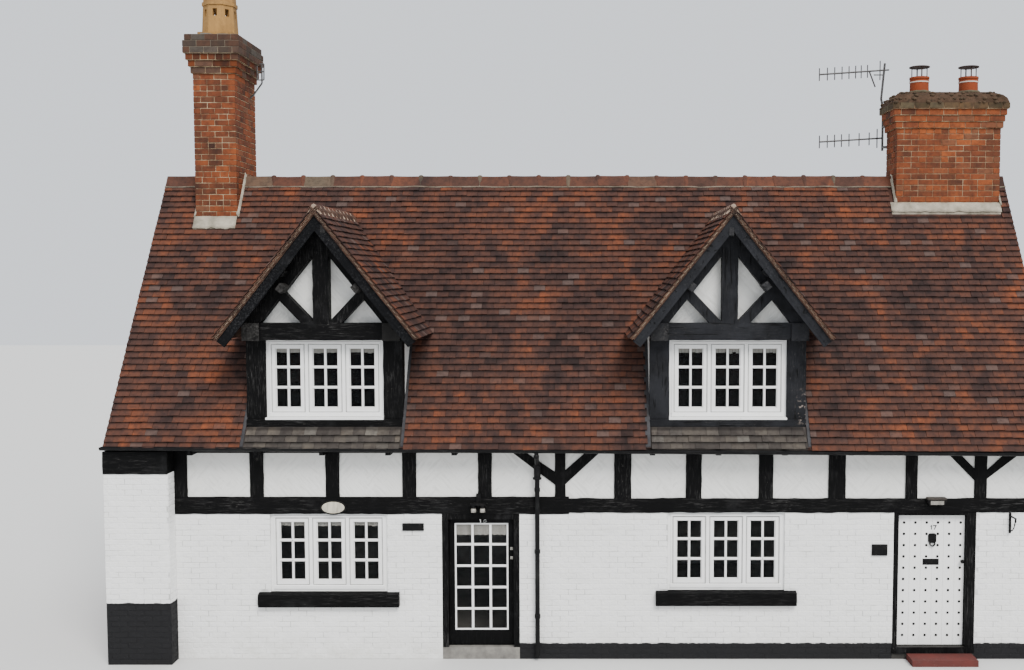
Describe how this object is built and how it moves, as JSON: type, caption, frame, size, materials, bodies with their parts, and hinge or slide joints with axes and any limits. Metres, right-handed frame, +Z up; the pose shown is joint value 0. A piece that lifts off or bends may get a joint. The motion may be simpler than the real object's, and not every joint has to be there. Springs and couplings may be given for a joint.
{
  "type": "half timbered row house",
  "caption": "Long low row building of two cottages with a steep tiled roof, gabled dormers, brick stacks, black timbers, white infill and hinged front doors.",
  "frame": {"origin": "middle of the underside of the ground floor, at the lowest ground level, halfway along the street front and halfway between the street wall face and the rear wall face", "axes": "+X along the street front, to the right as seen from the street; +Y from the street into the house; +Z up; the street front faces -Y"},
  "size_m": [12.9502, 5.146, 9.79],
  "materials": {
    "painted_brick": "matt masonry paint",
    "lime_render": "matt limewash",
    "black_timber": "worn black paint",
    "roof_tiles": "weathered clay",
    "ridge_tiles": "weathered clay",
    "grey_tiles": "weathered clay",
    "red_brick": "weathered brick",
    "plain_brick": "plain brick",
    "floor_stone": "worn",
    "step_stone": "worn",
    "floor_boards": "plain",
    "white_joinery": "satin paint",
    "window_glass": "clear",
    "black_iron": "painted",
    "buff_clay": "weathered",
    "red_clay": "weathered",
    "cowl_metal": "rusted",
    "black_gutter": "satin",
    "grey_lead": "dull lead grey"
  },
  "bodies": {
    "house": {"ground_floor": "floor_stone", "upper_floor": "floor_boards", "front_wall_left": "painted_brick", "front_wall_middle": "painted_brick", "front_wall_right": "painted_brick", "end_pier": "painted_brick", "pier_head": "black_timber", "party_wall_left": "plain_brick", "party_wall_right": "plain_brick", "rear_wall": "painted_brick", "front_rail": "black_timber", "front_studs": "black_timber", "front_braces": "black_timber", "wall_plates": "black_timber", "front_panels": "lime_render", "rear_frame": "black_timber", "rear_panels": "lime_render", "front_slope": "roof_tiles", "rear_slope": "roof_tiles", "ridge_tiles": "ridge_tiles", "dormer_frames": "black_timber", "dormer_trusses": "black_timber", "dormer_infill": "lime_render", "dormer_roofs": "roof_tiles", "dormer_barges": "black_timber", "dormer_aprons": "grey_tiles", "dormer_windows": "white_joinery", "upper_glass": "window_glass", "ground_windows": "white_joinery", "window_sills": "black_timber", "ground_glass": "window_glass", "door_frames": "black_timber", "door_steps": "step_stone", "left_stack": "red_brick", "right_stack": "red_brick", "left_pot": "buff_clay", "right_pots": "red_clay", "pot_cowls": "cowl_metal", "rain_goods": "black_gutter", "flashings": "grey_lead", "wall_fittings": "black_iron"},
    "left_door_leaf": {"left_door": "black_timber", "left_door_glass": "window_glass"},
    "right_door_leaf": {"right_door": "white_joinery", "right_door_ironwork": "black_iron"}
  },
  "joints": [
    {"name": "left_door_hinge", "type": "hinge", "parent": "house", "child": "left_door_leaf", "pos_m": [-1.868, -2.074, 1], "axis": [0, 0, 1], "range_deg": [0, 90]},
    {"name": "right_door_hinge", "type": "hinge", "parent": "house", "child": "right_door_leaf", "pos_m": [4.307, -2.074, 1], "axis": [0, 0, 1], "range_deg": [0, 90]}
  ]
}
